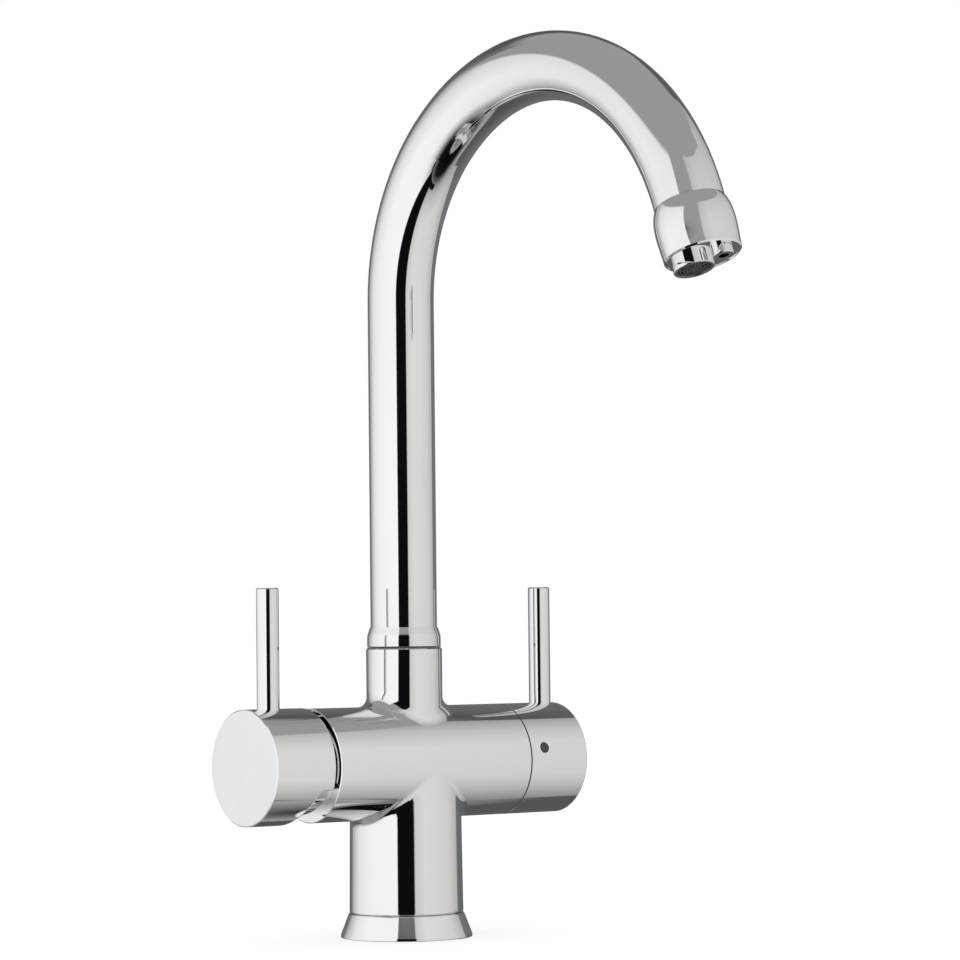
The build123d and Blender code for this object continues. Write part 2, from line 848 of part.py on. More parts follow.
def filtered_nozzle():
    piece = rod(nozzle_thread_radius, nozzle_thread_start, head_seat)
    piece += rod(nozzle_radius, head_seat, nozzle_tip)
    piece = fillet(piece.edges().group_by(Axis.Z)[-1], nozzle_round)
    return outlet * at_nozzle * (piece - rod(nozzle_bore_radius, nozzle_thread_start, nozzle_tip))


def nozzle_washer():
    outer = nozzle_thread_radius - slip
    low = nozzle_washer_seat + slip
    return outlet * at_nozzle * ring(nozzle_bore_radius, outer, low, nozzle_thread_start - slip)


# Mixer cartridge, in the mixer's frame


def port_holes(radius, low, high):
    return round_holes(mains_ports + [outlet_port], radius, low, high)


def cartridge_base():
    piece = rod(cartridge_radius, base_start, base_end)
    piece += round_holes(pegs, peg_radius, base_start - peg_length, base_start)
    seal_seats = port_holes(port_seal_radius + slip, base_start, mixer_floor + port_seal_thickness)
    return mixer_side(piece - seal_seats - port_holes(port_radius, base_start, base_end))


def cartridge_port_seals():
    inner = port_seal_radius - port_seal_width
    seal = ring(inner, port_seal_radius, mixer_floor, mixer_floor + port_seal_thickness)
    return [mixer_side(Pos(*port, 0) * seal) for port in mains_ports + [outlet_port]]


def cartridge_fixed_disc():
    disc = rod(fixed_disc_radius, base_end, fixed_disc_end)
    return mixer_side(disc - port_holes(disc_port_radius, base_end, fixed_disc_end))


def mixer_moving_disc():
    # Its pocket joins the mains ports to the outlet when the disc rises.
    disc = rod(moving_disc_radius, moving_disc_start, moving_disc_end)
    pocket = rod(mixing_pocket_radius, moving_disc_start, moving_disc_start + mixing_pocket_depth)
    return mixer_side(Pos(disc_rest_shift, 0, 0) * (disc - Pos(mixing_pocket_shift, 0, 0) * pocket))


def disc_driver():
    # Two flats run between the rotor's lugs, and the stem's ball moves it up and down.
    piece = rod(moving_disc_radius, moving_disc_end, driver_end)
    piece &= prism(Rectangle(3 * moving_disc_radius, 2 * driver_half_width), moving_disc_end, driver_end)
    socket = rod(stem_ball_radius + air, ball_at - stem_ball_radius - air, driver_end)
    return mixer_side(Pos(disc_rest_shift, 0, 0) * piece - socket)


def tilt_slot():
    # The space that the stem sweeps between upright and its full tilt, with air round it.
    half = stem_shank_radius + air
    lean = math.tan(math.radians(tilt_limit))
    rise = half / math.cos(math.radians(tilt_limit))
    low = rotor_start - rotor_lug_length
    high = rotor_neck_end + air
    reach = rise + (pivot_at - low) * lean
    inner = Polygon((-half, low), (-rise, pivot_at), (rise, pivot_at), (reach, low), align=None)
    reach = rise + (high - pivot_at) * lean
    outer = Polygon((half, high), (rise, pivot_at), (-rise, pivot_at), (-reach, high), align=None)
    return extrude(Plane.XZ * (inner + outer), half, both=True)


def across_pivot(radius, half_length):
    return Pos(0, 0, pivot_at) * Rot(90, 0, 0) * rod(radius, -half_length, half_length)


def cartridge_carrier():
    lug_end = rotor_start - rotor_lug_length
    lug_inner = driver_half_width + air
    piece = rod(rotor_radius, rotor_start, rotor_end) + rod(rotor_neck_radius, rotor_end, rotor_neck_end)
    lugs = rod(rotor_radius, lug_end, rotor_start)
    lugs &= prism(Rectangle(rotor_lug_height, 2 * rotor_radius), lug_end, rotor_start)
    lugs -= prism(Rectangle(rotor_lug_height, 2 * lug_inner), lug_end, rotor_start)
    pin_hole = across_pivot(pivot_radius + slip, rotor_neck_radius)
    return mixer_side(piece + lugs - tilt_slot() - pin_hole)


def pivot_pin():
    return mixer_side(across_pivot(pivot_radius, rotor_neck_radius - pivot_inset))


def cartridge_stem():
    # A ball, a slim waist, a round shank on the pivot and a square end for the handle.
    waist_end = ball_at + stem_waist_length
    cone_end = waist_end + stem_shank_radius - stem_waist_radius
    piece = Pos(0, 0, ball_at) * Sphere(stem_ball_radius) + turned(
        (0, ball_at),
        (stem_waist_radius, ball_at),
        (stem_waist_radius, waist_end),
        (stem_shank_radius, cone_end),
        (stem_shank_radius, stem_square_start),
        (0, stem_square_start),
    )
    square = prism(Rectangle(stem_square, stem_square), stem_square_start, stem_end)
    piece += chamfer(square.edges().group_by(Axis.Z)[-1], stem_bevel)
    return mixer_side(piece - across_pivot(pivot_radius + running, stem_square))


def cartridge_housing():
    mouth = rotor_neck_radius + air
    piece = turned(
        (housing_bore, base_end),
        (cartridge_radius, base_end),
        (cartridge_radius, nut_seat),
        (housing_upper, nut_seat),
        (housing_upper, housing_end),
        (mouth, housing_end),
        (mouth, lip_start),
        (housing_bore, lip_start),
    )
    return mixer_side(piece)


def cartridge_nut():
    # A ring nut with slots for a pin spanner.
    end = nut_seat + nut_height
    nut = ring(housing_upper + slip, nut_thread_radius - slip, nut_seat, end)
    slot = Pos(nut_thread_radius, 0) * Rectangle(nut_thread_radius, nut_slot_width)
    return mixer_side(nut - around(nut_slots, prism(slot, end - nut_slot_depth, end)))


def cartridge_cover():
    sleeve = turned(
        (cover_bore, cover_start),
        (cover_radius, cover_start),
        (cover_radius, cover_end),
        (cover_mouth_radius, cover_end),
        (cover_mouth_radius, cover_end - cover_lip),
        (cover_bore, cover_end - cover_lip),
    )
    rim = sleeve.edges().group_by(Axis.Z)[-1].sort_by(SortBy.LENGTH)[-1]
    return mixer_side(fillet(rim, cover_round))


# Handles and levers


def radial(angle, at, low, high, radius):
    # A bar that stands out from the handles' axis; 0 is up.
    return Rot(0, 0, angle) * Pos(low, 0, at) * Rot(0, 90, 0) * rod(radius, 0, high - low)


def lever_hole(at, outer):
    thread = radial(0, at, lever_thread_start - air, lever_seat, lever_thread_radius + slip)
    return [thread, radial(0, at, lever_seat, outer, lever_radius + slip)]


def lever(at):
    shank = rod(lever_radius, lever_seat, lever_end)
    shank = chamfer(shank.edges().filter_by(GeomType.CIRCLE), lever_bevel)
    return Pos(0, 0, at) * Rot(0, 90, 0) * (shank + rod(lever_thread_radius, lever_thread_start, lever_seat))


def screw_hole(angle, at, inner, outer):
    plug_seat = outer - plug_recess - plug_length
    thread = radial(angle, at, inner, plug_seat, screw_radius + slip)
    return [thread, radial(angle, at, plug_seat, outer, plug_radius + slip)]


def screw_and_plug(angle, at, tip, outer):
    turned_screw = Pos(tip, 0, at) * Rot(0, 90, 0) * grub_screw(screw_radius, screw_length, screw_hex)
    plug_end = outer - plug_recess
    plug = radial(angle, at, plug_end - plug_length + slip, plug_end, plug_radius)
    return Rot(0, 0, angle) * turned_screw, plug


def relief():
    # The cut under the mixer handle, seen from the side: local X is up and local Y is out.
    reach = 2 * mixer_radius
    start = mixer_rim - mixer_gap
    corner = mixer_rim + relief_depth
    low = corner + (reach - relief_top) * math.tan(math.radians(relief_slant))
    outline = Polygon((-relief_top, start), (-relief_top, corner), (-reach, low), (-reach, start), align=None)
    inner_corner = outline.vertices().sort_by_distance((-relief_top, corner))[0]
    square = Rectangle(relief_rim_round, relief_rim_round, align=(Align.MAX, Align.MAX))
    rounding = Pos(relief_rim_round - relief_top, mixer_rim + relief_rim_round) * (
        square - Circle(relief_rim_round)
    )
    return extrude(Plane.XZ * (fillet(inner_corner, relief_corner_round) + rounding), reach, both=True)


def handle_pads(lever_at, hub_radius, screw_at, screw_angle, middle):
    # Bosses inside a handle for the lever's thread and for the grub screw.
    lever_pad = radial(0, lever_at, lever_pad_start, middle, lever_pad_radius)
    return lever_pad + radial(screw_angle, screw_at, hub_radius - screw_bevel, middle, screw_pad_radius)


def mixer_handle():
    outer = rod(mixer_radius, mixer_rim, mixer_face)
    outer = chamfer(outer.edges().group_by(Axis.Z)[-1], mixer_bevel)
    shell = outer - rod(mixer_radius - mixer_wall, mixer_rim, mixer_back)
    middle = mixer_radius - mixer_wall / 2
    fittings = handle_pads(mixer_lever_at, mixer_hub_radius, mixer_screw_at, 180, middle)
    fittings += rod(mixer_hub_radius, mixer_hub_start, mixer_back)
    shell += fittings & rod(middle, mixer_rim, mixer_back)
    shell -= relief()
    slant = shell.edges().filter_by(GeomType.ELLIPSE).sort_by(SortBy.LENGTH)[-1]
    shell = fillet(slant, relief_polish)
    socket = stem_square + 2 * running
    cuts = [prism(Rectangle(socket, socket), mixer_hub_start, stem_end + air)]
    cuts += lever_hole(mixer_lever_at, mixer_radius) + screw_hole(180, mixer_screw_at, 0, mixer_radius)
    return mixer_side(shell - cuts)


def mixer_screw_and_plug():
    return screw_and_plug(180, mixer_screw_at, stem_square / 2 + slip, mixer_radius)


def filter_handle():
    outer = rod(tube_radius, filter_rim, filter_face)
    outer = fillet(outer.edges().group_by(Axis.Z)[-1], filter_edge_round)
    shell = outer - rod(tube_radius - filter_wall, filter_rim, filter_back)
    middle = tube_radius - filter_wall / 2
    fittings = handle_pads(filter_lever_at, filter_hub_radius, filter_screw_at, filter_screw_angle, middle)
    fittings += rod(filter_hub_radius, adaptor_start, filter_back)
    shell += fittings & rod(middle, filter_rim, filter_back)
    cuts = [prism(adaptor_outline(slip), adaptor_start, spindle_end + air)]
    cuts += lever_hole(filter_lever_at, tube_radius)
    cuts += screw_hole(filter_screw_angle, filter_screw_at, 0, tube_radius)
    return filter_side(shell - cuts)


def filter_screw_and_plug():
    return screw_and_plug(filter_screw_angle, filter_screw_at, adaptor_square / 2 + slip, tube_radius)


# Selector valve, in the filter's frame


def selector_holes(low, high):
    return round_holes(selector_ports + [(0, 0)], selector_port_radius, low, high)


def selector_seat_seal():
    seal = rod(selector_disc_radius, selector_floor, selector_fixed_start)
    return filter_side(seal - selector_holes(selector_floor, selector_fixed_start))


def selector_fixed_disc():
    disc = rod(selector_disc_radius, selector_fixed_start, selector_fixed_end)
    return filter_side(disc - selector_holes(selector_fixed_start, selector_fixed_end))


def selector_moving_disc():
    # Slots in its face join the middle outlet to one filtered port at a time.
    disc = rod(selector_rotor_radius, selector_moving_start, selector_moving_end)
    outline = SlotCenterPoint((selector_port_pitch / 2, 0), (0, 0), 2 * selector_port_radius)
    slot = prism(outline, selector_moving_start, selector_moving_start + selector_slot_depth)
    return filter_side(disc - [Rot(0, 0, angle) * slot for angle in selector_arms])


def selector_spindle():
    # A drive flange, a plain shaft with seals and a clip, and a splined end.
    grip = rod(spline_radius, adaptor_start, spindle_end)
    notch = prism(Rot(0, 0, 45) * Rectangle(spline_depth, spline_depth), adaptor_start, spindle_end)
    grip -= around(spline_teeth, Pos(spline_radius, 0, 0) * notch)
    piece = rod(selector_rotor_radius, selector_moving_end, spindle_flange_end) + grip
    piece += rod(spindle_radius, spindle_flange_end, adaptor_start)
    piece -= ring(clip_groove_radius, spindle_bore, clip_start - slip, clip_end + slip)
    wall = spindle_bore - slip
    return filter_side(piece - [seal_groove(spindle_seal_section, wall, at) for at in spindle_seal_places])


def spindle_seals():
    wall = spindle_bore - slip
    return [filter_side(seal_ring(spindle_seal_section, wall, at)) for at in spindle_seal_places]


def spindle_clip():
    clip = ring(clip_groove_radius + slip, clip_radius, clip_start, clip_end)
    mouth = Pos(clip_radius, 0) * Rectangle(2 * clip_radius, clip_opening)
    return filter_side(clip - prism(mouth, clip_start, clip_end))


def selector_housing():
    low = selector_floor + air
    thread_start = selector_thread_start + slip
    thread = selector_thread_radius - slip
    piece = turned(
        (0, low),
        (selector_radius, low),
        (selector_radius, thread_start),
        (thread, thread_start),
        (thread, selector_flange_start),
        (selector_neck_radius, selector_flange_start),
        (selector_neck_radius, selector_neck_end),
        (0, selector_neck_end),
    )
    hexagon = RegularPolygon(selector_flange_across / 2, 6, major_radius=False)
    piece += prism(hexagon, selector_flange_start, selector_flange_end)
    piece -= rod(selector_bore, low, spindle_flange_end + air)
    piece -= rod(spindle_bore, spindle_flange_end, selector_neck_end)
    return filter_side(piece - seal_groove(body_seal_section, selector_cavity_radius - slip, body_seal_at))


def selector_body_seal():
    return filter_side(seal_ring(body_seal_section, selector_cavity_radius - slip, body_seal_at))


def adaptor_outline(gap):
    # One flat faces the grub screw.
    side = adaptor_square + 2 * gap
    return Rot(0, 0, filter_screw_angle) * RectangleRounded(side, side, adaptor_corner)


def spline_adaptor():
    piece = prism(adaptor_outline(0), adaptor_start, spindle_end)
    return filter_side(piece - rod(spline_radius + slip, adaptor_start, spindle_end))


mixer_screw, mixer_plug = mixer_screw_and_plug()
filter_screw, filter_plug = filter_screw_and_plug()

nodes = {
    "body": body(),
    "base_ring": base_ring(),
    "base_seal": base_seal(),
    "spout_retaining_screw": spout_retaining_screw(),
    "spout_glide_ring": spout_glide_ring(),
    "spout_collar": spout_collar(),
    "spout_tube": spout_tube(),
    "spout_spigot": spout_spigot(),
    "spigot_seals": spigot_seals(),
    "spigot_guide": spigot_guide(),
    "filtered_water_tube": filtered_water_tube(),
    "spout_head": spout_head(),
    "aerator_housing": aerator_housing(),
    "aerator_insert": aerator_insert(),
    "aerator_screen": aerator_screen(),
    "aerator_washer": aerator_washer(),
    "filtered_nozzle": filtered_nozzle(),
    "nozzle_washer": nozzle_washer(),
    "cartridge_base": cartridge_base(),
    "cartridge_port_seals": cartridge_port_seals(),
    "cartridge_fixed_disc": cartridge_fixed_disc(),
    "cartridge_housing": cartridge_housing(),
    "cartridge_nut": cartridge_nut(),
    "cartridge_cover": cartridge_cover(),
    "mixer_moving_disc": mixer_moving_disc(),
    "disc_driver": disc_driver(),
    "cartridge_carrier": cartridge_carrier(),
    "pivot_pin": pivot_pin(),
    "cartridge_stem": cartridge_stem(),
    "mixer_handle": mixer_handle(),
    "mixer_lever": mixer_side(lever(mixer_lever_at)),
    "mixer_grub_screw": mixer_side(mixer_screw),
    "mixer_screw_plug": mixer_side(mixer_plug),
    "selector_seat_seal": selector_seat_seal(),
    "selector_fixed_disc": selector_fixed_disc(),
    "selector_housing": selector_housing(),
    "selector_body_seal": selector_body_seal(),
    "selector_moving_disc": selector_moving_disc(),
    "selector_spindle": selector_spindle(),
    "spindle_seals": spindle_seals(),
    "spindle_clip": spindle_clip(),
    "spline_adaptor": spline_adaptor(),
    "filter_handle": filter_handle(),
    "filter_lever": filter_side(lever(filter_lever_at)),
    "filter_grub_screw": filter_side(filter_screw),
    "filter_screw_plug": filter_side(filter_plug),
}

for name, piece in nodes.items():
    solids = piece if isinstance(piece, list) else piece.solids()
    export_step(solids[0] if len(solids) == 1 else Compound(children=solids), f"parts/{name}.step")
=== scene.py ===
import json
import math

import bpy
from mathutils import Matrix, Vector

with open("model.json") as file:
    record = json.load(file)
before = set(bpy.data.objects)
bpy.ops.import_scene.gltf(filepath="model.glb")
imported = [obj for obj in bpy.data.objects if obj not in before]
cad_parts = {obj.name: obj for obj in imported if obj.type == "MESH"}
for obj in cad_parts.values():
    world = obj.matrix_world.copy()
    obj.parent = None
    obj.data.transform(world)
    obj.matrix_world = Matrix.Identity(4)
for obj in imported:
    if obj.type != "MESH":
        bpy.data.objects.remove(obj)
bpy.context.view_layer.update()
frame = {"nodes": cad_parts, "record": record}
nodes = frame["nodes"]
print("stage: frame loaded,", len(nodes), "nodes")


# Camera: low, to the left of the front, with a long lens

cameraSettings = {
    "turn": 38.03,          # degrees from the front towards the mixer side
    "rise": -2.224,         # degrees above the horizon
    "tilt": -0.596,         # degrees, how far the horizon leans
    "distance": 1.57166,
    "lookAt": (0.0, 0.0, 0.19158),
    "sideStep": 0.03276,    # metres to the right of the point it looks at
    "lens": 139.63,         # millimetres, as is the sensor's width
    "sensor": 36,
    "nearest": 0.05,
}


def makeCamera(s):
    turn, rise, tilt = (math.radians(s[k]) for k in ("turn", "rise", "tilt"))
    back = Vector((-math.sin(turn) * math.cos(rise), -math.cos(turn) * math.cos(rise), math.sin(rise)))
    right = (-back).cross(Vector((0, 0, 1))).normalized()
    up = right.cross(-back)
    leanRight = right * math.cos(tilt) + up * math.sin(tilt)
    leanUp = up * math.cos(tilt) - right * math.sin(tilt)
    camera = bpy.data.objects.new("camera", bpy.data.cameras.new("camera"))
    bpy.context.collection.objects.link(camera)
    camera.data.lens = s["lens"]
    camera.data.sensor_width = s["sensor"]
    camera.data.clip_start = s["nearest"]
    target = Vector(s["lookAt"]) + right * s["sideStep"]
    facing = Matrix((leanRight, leanUp, back)).transposed().to_4x4()
    camera.matrix_world = Matrix.Translation(target + back * s["distance"]) @ facing
    bpy.context.scene.camera = camera


makeCamera(cameraSettings)
print("stage: camera placed")


# Studio: a white floor and world, and what the metal mirrors: panels, cards and a grey room round them

floorSettings = {"size": 6.0, "colour": (0.5, 0.5, 0.5), "lift": 0.6}

worldSettings = {"background": 1.0, "fill": 0.95}

# The room is a large sphere round the tap; "upward" is its level from straight below to straight above
roomSettings = {
    "radius": 12.0,
    "upward": [(0.0, 0.002), (0.03, 0.01), (0.067, 0.4), (0.12, 0.14), (0.3, 0.2), (0.5, 0.3), (0.62, 0.34)],
}

# A round card under the base that glows only for the metal: a painted reflection of the floor, with painted
# shade darkest in the middle under the tap; "outward" is its level from the middle
floorReflectionSettings = {"height": -0.04, "radius": 0.07, "edge": 0.2, "outward": [(0.0, 0.03), (1.0, 0.44)]}

# Angles are in degrees from the front, positive to the right; the panels stand round the tap.
# "across" and "upward" give the light's level along the panel and up it; "edges" is how softly it
# ends at its start, its end, its bottom and its top, as a share of the panel.
panelSettings = {
    "leftPanel": {
        "from": -176, "to": -52.5, "radius": 0.46, "low": -0.6, "high": 0.65,
        "colour": (0.985, 0.99, 1.0), "edges": (0.02, 0.02, 0.12, 0.05),
        "across": [(0.0, 0.4), (0.25, 0.88), (0.5, 1.0), (1.0, 1.04)],
        "upward": [(0.0, 0.3), (0.33, 0.97), (0.67, 1.02), (1.0, 0.82)],
    },
    "rightPanel": {
        "from": -21.5, "to": 89, "radius": 0.5, "low": -0.56, "high": 0.74,
        "colour": (1.0, 0.985, 0.955), "edges": (0.03, 0.02, 0, 0.01),
        "across": [(0.0, 0.66), (0.2, 0.8), (0.5, 0.77), (0.75, 0.7), (1.0, 0.49)],
        "upward": [(0.0, 0.54), (0.33, 0.95), (0.67, 1.0), (1.0, 0.74)],
    },
    "backCard": {
        "from": 89, "to": 196, "radius": 0.64, "low": -0.7, "high": 1.05,
        "colour": (0.97, 0.99, 1.0), "edges": (0, 0.01, 0.03, 0.12),
        "across": [(0.0, 0.17), (0.6, 0.13), (0.8, 0.17), (1.0, 0.33)],
        "upward": [(0.0, 0.6), (0.25, 0.71), (0.5, 1.15), (0.75, 0.94), (1.0, 0.28)],
    },
    "cameraCard": {
        "from": -68, "to": 9, "radius": 0.62, "low": -1.0, "high": 0.53,
        "colour": (1.0, 1.0, 1.0), "edges": (0, 0.01, 0.01, 0.1),
        "across": [(0.0, 0.004), (1.0, 0.004)], "upward": [(0.0, 1.0), (1.0, 1.0)],
    },
}


def newMaterial(name):
    material = bpy.data.materials.new(name)
    material.use_nodes = True
    material.node_tree.nodes.clear()
    return material, material.node_tree.nodes, material.node_tree.links


def setInput(links, socket, value):
    # the value is another node's output or a plain value
    if hasattr(value, "is_linked"):
        links.new(value, socket)
    else:
        socket.default_value = value


def mathNode(made, links, operation, one, other=0.0):
    step = made.new("ShaderNodeMath")
    step.operation = operation
    for socket, value in zip(step.inputs, (one, other)):
        setInput(links, socket, value)
    return step.outputs["Value"]


def levelRamp(made, links, socket, stops):
    ramp = made.new("ShaderNodeValToRGB")
    while len(ramp.color_ramp.elements) < len(stops):
        ramp.color_ramp.elements.new(0.5)
    for stop, (place, level) in zip(ramp.color_ramp.elements, stops):
        stop.position = place
        stop.color = (level, level, level, 1)
    links.new(socket, ramp.inputs["Fac"])
    return ramp.outputs["Color"]


def softEdge(made, links, value, edge, width):
    # 0 at the edge and 1 from its width inwards
    fade = made.new("ShaderNodeMapRange")
    fade.interpolation_type = "SMOOTHSTEP"
    fade.inputs["From Min"].default_value = edge
    fade.inputs["From Max"].default_value = edge + width
    links.new(value, fade.inputs["Value"])
    return fade.outputs["Result"]


def glowMaterial(name, colour, levelOf, coverOf=None):
    # a light source: levelOf gives its level and coverOf, where it has soft edges, how solid it is
    material, made, links = newMaterial(name)
    split = made.new("ShaderNodeSeparateXYZ")
    links.new(made.new("ShaderNodeTexCoord").outputs["UV"], split.inputs["Vector"])
    glow = made.new("ShaderNodeEmission")
    glow.inputs["Color"].default_value = (*colour, 1)
    links.new(levelOf(made, links, split.outputs), glow.inputs["Strength"])
    out = made.new("ShaderNodeOutputMaterial")
    if coverOf:
        clear = made.new("ShaderNodeBsdfTransparent")
        both = made.new("ShaderNodeMixShader")
        links.new(coverOf(made, links, split.outputs), both.inputs["Fac"])
        links.new(clear.outputs["BSDF"], both.inputs[1])
        links.new(glow.outputs["Emission"], both.inputs[2])
        links.new(both.outputs["Shader"], out.inputs["Surface"])
    else:
        links.new(glow.outputs["Emission"], out.inputs["Surface"])
    return material


def placeCard(name, points, faces, places, material):
    # a sheet that only the metal sees; each of its points has a place from 0 to 1 across and up
    mesh = bpy.data.meshes.new(name)
    mesh.from_pydata(points, [], faces)
    layer = mesh.uv_layers.new(name="UVMap")
    for loop in mesh.loops:
        layer.data[loop.index].uv = places[loop.vertex_index]
    mesh.materials.append(material)
    card = bpy.data.objects.new(name, mesh)
    bpy.context.collection.objects.link(card)
    card.visible_camera = False
    card.visible_diffuse = False
    card.visible_shadow = False
    card.visible_transmission = False


def makeFloor(s):
    half = s["size"] / 2
    mesh = bpy.data.meshes.new("floor")
    corners = [(-half, -half, 0), (half, -half, 0), (half, half, 0), (-half, half, 0)]
    mesh.from_pydata(corners, [], [(0, 1, 2, 3)])
    floor = bpy.data.objects.new("floor", mesh)
    bpy.context.collection.objects.link(floor)
    material, made, links = newMaterial("paperFloor")
    diffuse = made.new("ShaderNodeBsdfDiffuse")
    diffuse.inputs["Color"].default_value = (*s["colour"], 1)
    glow = made.new("ShaderNodeEmission")
    seen = made.new("ShaderNodeLightPath").outputs["Is Camera Ray"]
    links.new(mathNode(made, links, "MULTIPLY", seen, s["lift"]), glow.inputs["Strength"])
    both = made.new("ShaderNodeAddShader")
    out = made.new("ShaderNodeOutputMaterial")
    links.new(diffuse.outputs["BSDF"], both.inputs[0])
    links.new(glow.outputs["Emission"], both.inputs[1])
    links.new(both.outputs["Shader"], out.inputs["Surface"])
    mesh.materials.append(material)
    floor.visible_glossy = False


def makeWorld(s):
    world = bpy.data.worlds.new("studio")
    bpy.context.scene.world = world
    world.use_nodes = True
    made, links = world.node_tree.nodes, world.node_tree.links
    made.clear()
    path = made.new("ShaderNodeLightPath").outputs
    seen = mathNode(made, links, "MAXIMUM", path["Is Camera Ray"], path["Is Glossy Ray"])
    seen = mathNode(made, links, "MAXIMUM", seen, path["Is Transmission Ray"])
    fill = made.new("ShaderNodeBackground")
    fill.inputs["Strength"].default_value = s["fill"]
    background = made.new("ShaderNodeBackground")
    background.inputs["Strength"].default_value = s["background"]
    for shader in (fill, background):
        shader.inputs["Color"].default_value = (1, 1, 1, 1)
    both = made.new("ShaderNodeMixShader")
    out = made.new("ShaderNodeOutputWorld")
    links.new(seen, both.inputs["Fac"])
    links.new(fill.outputs["Background"], both.inputs[1])
    links.new(background.outputs["Background"], both.inputs[2])
    links.new(both.outputs["Shader"], out.inputs["Surface"])


def turnedSheet(profile, along, around):
    # a profile turned about the column; each of its points is a reach, a height and a place along it
    points, faces, places = [], [], []
    for i in range(around + 1):
        turn = math.tau * i / around
        for j in range(along + 1):
            reach, height, place = profile(j / along)
            points.append((reach * math.sin(turn), reach * math.cos(turn), height))
            places.append((i / around, place))
    for i in range(around):
        for j in range(along):
            start = i * (along + 1) + j
            faces.append((start, start + along + 1, start + along + 2, start + 1))
    return points, faces, places


def makeRoom(s):
    def profile(share):
        height = -math.cos(math.pi * share)
        reach = math.sqrt(max(0.0, 1 - height * height))
        return s["radius"] * reach, s["radius"] * height, (height + 1) / 2

    def level(made, links, place):
        return levelRamp(made, links, place["Y"], s["upward"])

    walls = glowMaterial("roomWalls", (1, 1, 1), level)
    placeCard("studioRoom", *turnedSheet(profile, along=96, around=24), walls)


def makeFloorReflection(s):
    def profile(share):
        return s["radius"] * share, s["height"], share

    # painted shade: the mirrored floor is darkest in the middle, under the tap, and lighter outwards
    def level(made, links, place):
        return levelRamp(made, links, place["Y"], s["outward"])

    def cover(made, links, place):
        return softEdge(made, links, place["Y"], 1, -s["edge"])

    top = glowMaterial("floorReflectionShade", (1, 1, 1), level, cover)
    placeCard("floorReflectionCard", *turnedSheet(profile, along=24, around=64), top)


def makePanel(name, s, steps=48):
    points, faces, places = [], [], []
    for i in range(steps + 1):
        share = i / steps
        angle = math.radians(s["from"] + (s["to"] - s["from"]) * share)
        for j, height in enumerate((s["low"], s["high"])):
            points.append((s["radius"] * math.sin(angle), -s["radius"] * math.cos(angle), height))
            places.append((share, j))
    for i in range(steps):
        faces.append((2 * i, 2 * i + 2, 2 * i + 3, 2 * i + 1))

    def level(made, links, place):
        across = levelRamp(made, links, place["X"], s["across"])
        return mathNode(made, links, "MULTIPLY", across, levelRamp(made, links, place["Y"], s["upward"]))

    def cover(made, links, place):
        solid = 1.0
        for (axis, edge), width in zip((("X", 0), ("X", 1), ("Y", 0), ("Y", 1)), s["edges"]):
            if width:
                fade = softEdge(made, links, place[axis], edge, width * (1 - 2 * edge))
                solid = mathNode(made, links, "MULTIPLY", solid, fade)
        return solid

    placeCard(name, points, faces, places, glowMaterial(name + "Light", s["colour"], level, cover))


makeFloor(floorSettings)
makeWorld(worldSettings)
makeRoom(roomSettings)
makeFloorReflection(floorReflectionSettings)
for panelName, panel in panelSettings.items():
    makePanel(panelName, panel)
print("stage: studio lit")


# Shared effects: each is a node group that is built once and placed in every material that needs it.
# In their settings a "Noise" is a detail and a roughness, and "From" and "To" are a low and a high.

def newGroup(name, inputs, outputs):
    group = bpy.data.node_groups.new(name, "ShaderNodeTree")
    for label, kind, value in inputs:
        socket = group.interface.new_socket(label, in_out="INPUT", socket_type=kind)
        socket.default_value = value
    for label, kind in outputs:
        group.interface.new_socket(label, in_out="OUTPUT", socket_type=kind)
    made, links = group.nodes, group.links
    return group, made, links, made.new("NodeGroupInput"), made.new("NodeGroupOutput")


def noiseNode(made, links, vector, scale, detail, roughness):
    noise = made.new("ShaderNodeTexNoise")
    noise.inputs["Detail"].default_value = detail
    noise.inputs["Roughness"].default_value = roughness
    links.new(vector, noise.inputs["Vector"])
    setInput(links, noise.inputs["Scale"], scale)
    return noise.outputs["Fac"]


def rangeNode(made, links, value, fromLow, fromHigh, toLow=0.0, toHigh=1.0):
    fit = made.new("ShaderNodeMapRange")
    limits = {"From Min": fromLow, "From Max": fromHigh, "To Min": toLow, "To Max": toHigh}
    for label, number in limits.items():
        setInput(links, fit.inputs[label], number)
    links.new(value, fit.inputs["Value"])
    return fit.outputs["Result"]


def stretchedPlace(made, links, place, turn, stretch):
    # noise on it turns into fine lines that run one way
    mapping = made.new("ShaderNodeMapping")
    mapping.inputs["Rotation"].default_value = [math.radians(v) for v in turn]
    mapping.inputs["Scale"].default_value = stretch
    links.new(place, mapping.inputs["Vector"])
    return mapping.outputs["Vector"]


# Slow clouds and small smears that dull a finish a little here and there
hazeSettings = {
    "cloudNoise": (4.0, 0.55), "smearNoise": (2.0, 0.6), "smearScale": 90.0, "smearLift": 0.45,
    "smearTurn": (20, 35, 10), "smearStretch": (1.0, 1.0, 0.25), "maskFrom": (0.3, 0.7),
}


def makeHandlingHaze(s):
    group, made, links, given, put = newGroup(
        "handlingHaze",
        [
            ("Cloud Scale", "NodeSocketFloat", 20.0),
            ("Low", "NodeSocketFloat", 0.0),
            ("High", "NodeSocketFloat", 1.0),
        ],
        [("Value", "NodeSocketFloat"), ("Mask", "NodeSocketFloat")],
    )
    place = made.new("ShaderNodeTexCoord").outputs["Object"]
    cloud = noiseNode(made, links, place, given.outputs["Cloud Scale"], *s["cloudNoise"])
    stretched = stretchedPlace(made, links, place, s["smearTurn"], s["smearStretch"])
    smear = noiseNode(made, links, stretched, s["smearScale"], *s["smearNoise"])
    smear = mathNode(made, links, "ADD", smear, s["smearLift"])
    both = mathNode(made, links, "MULTIPLY", cloud, smear)
    mask = rangeNode(made, links, both, *s["maskFrom"])
    value = rangeNode(made, links, mask, 0.0, 1.0, given.outputs["Low"], given.outputs["High"])
    links.new(mask, put.inputs["Mask"])
    links.new(value, put.inputs["Value"])
    return group


